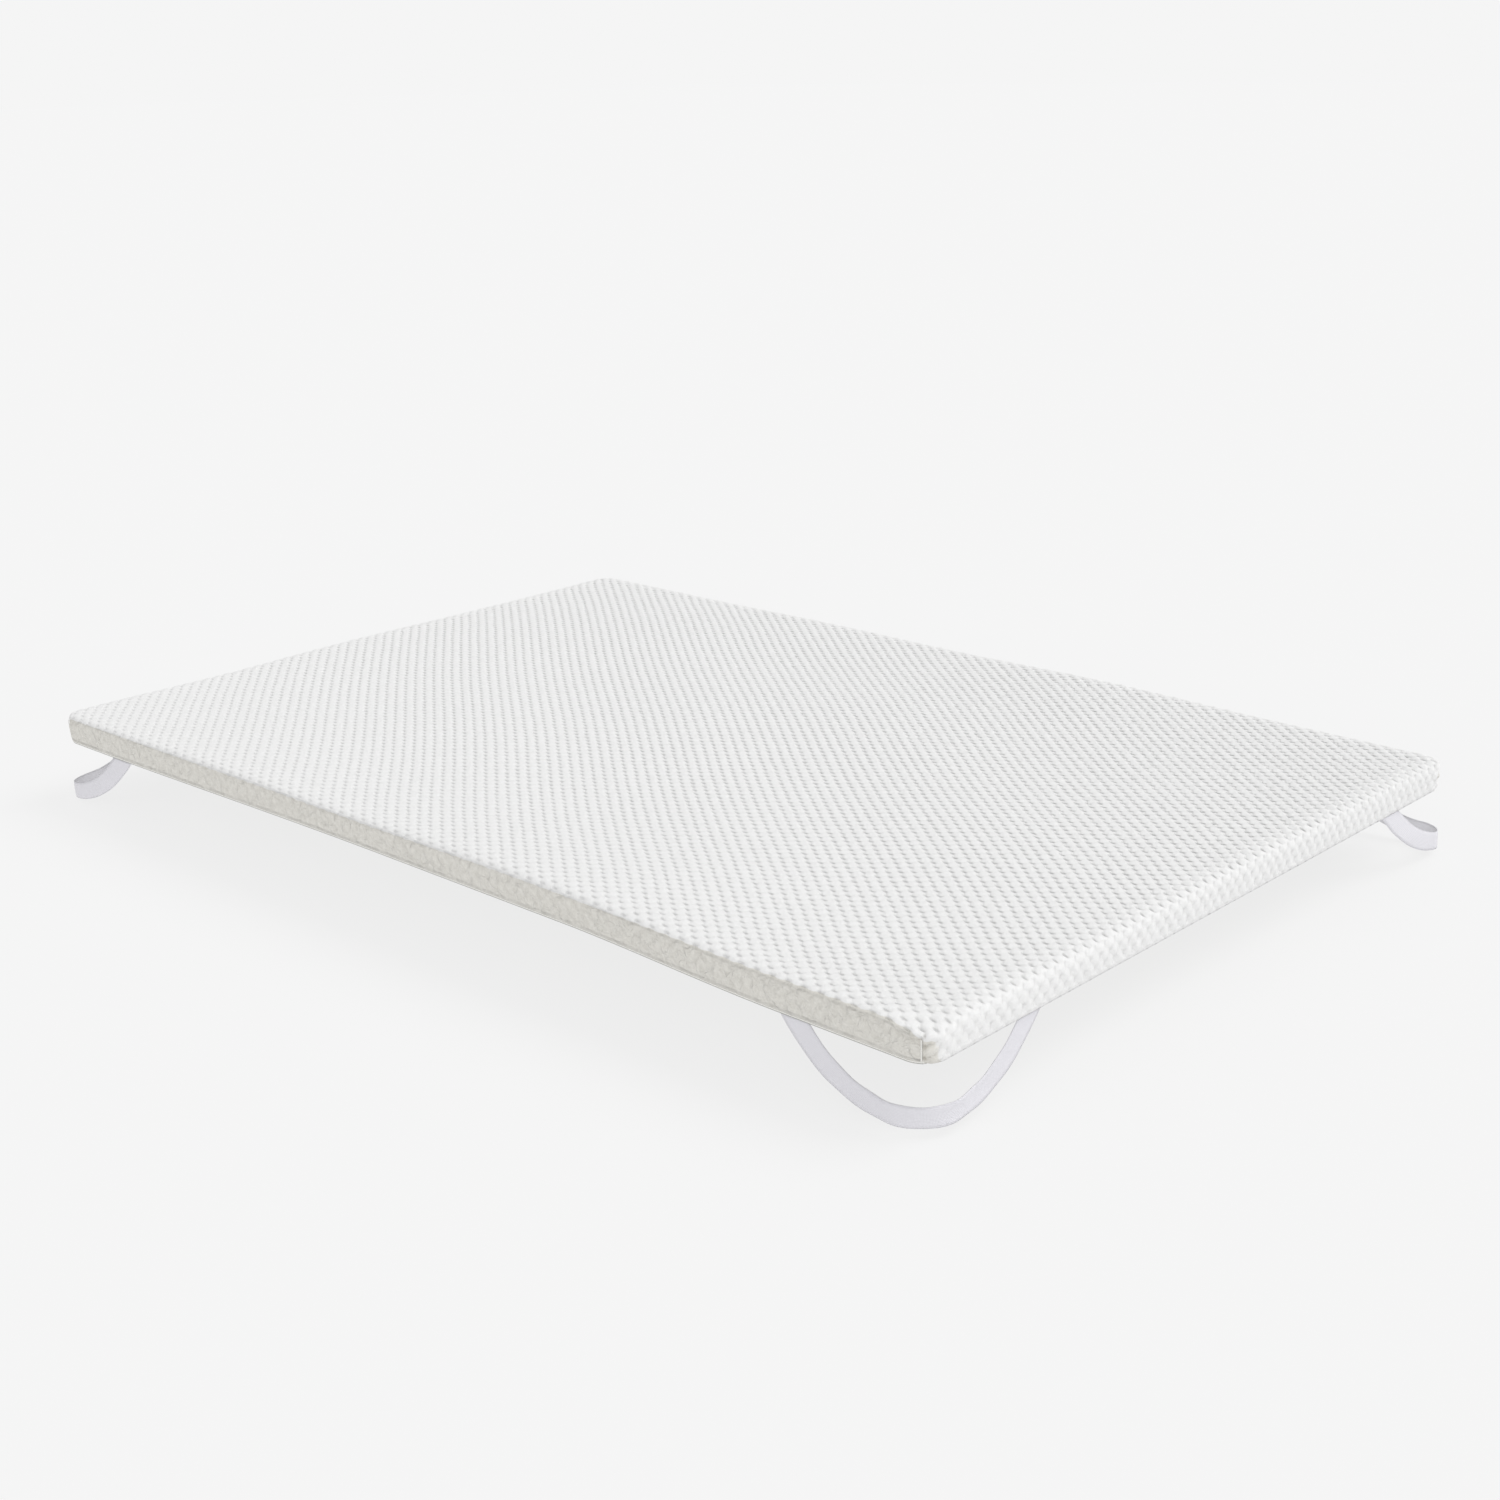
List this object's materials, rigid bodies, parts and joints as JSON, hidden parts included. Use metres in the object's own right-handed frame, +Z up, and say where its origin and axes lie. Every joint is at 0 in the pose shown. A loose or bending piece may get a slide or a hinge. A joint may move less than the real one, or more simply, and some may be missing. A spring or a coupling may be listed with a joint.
{
  "type": "mattress topper",
  "caption": "Foam mattress topper in a white puffed knit cover, with a plain base panel and elastic corner loops that hold it to a mattress.",
  "frame": {"origin": "middle of the flat underside, where the topper lies on its mattress", "axes": "+X across the width, +Y along the length, +Z up through the slab to the puffed top"},
  "size_m": [1.3871, 2.0465, 0.1719],
  "materials": {
    "white_knit": "matte three-dimensional jacquard knit with soft puffs",
    "base_cloth": "plain matte woven cloth",
    "edging": "matte sewn edging",
    "elastic": "matte woven elastic band"
  },
  "bodies": {
    "root": {"knit_cover": "white_knit", "base_panel": "base_cloth", "seam_edging": "edging", "elastic_loop_near": "elastic", "elastic_loop_left": "elastic", "elastic_loop_right": "elastic", "elastic_loop_far": "elastic"}
  },
  "joints": []
}
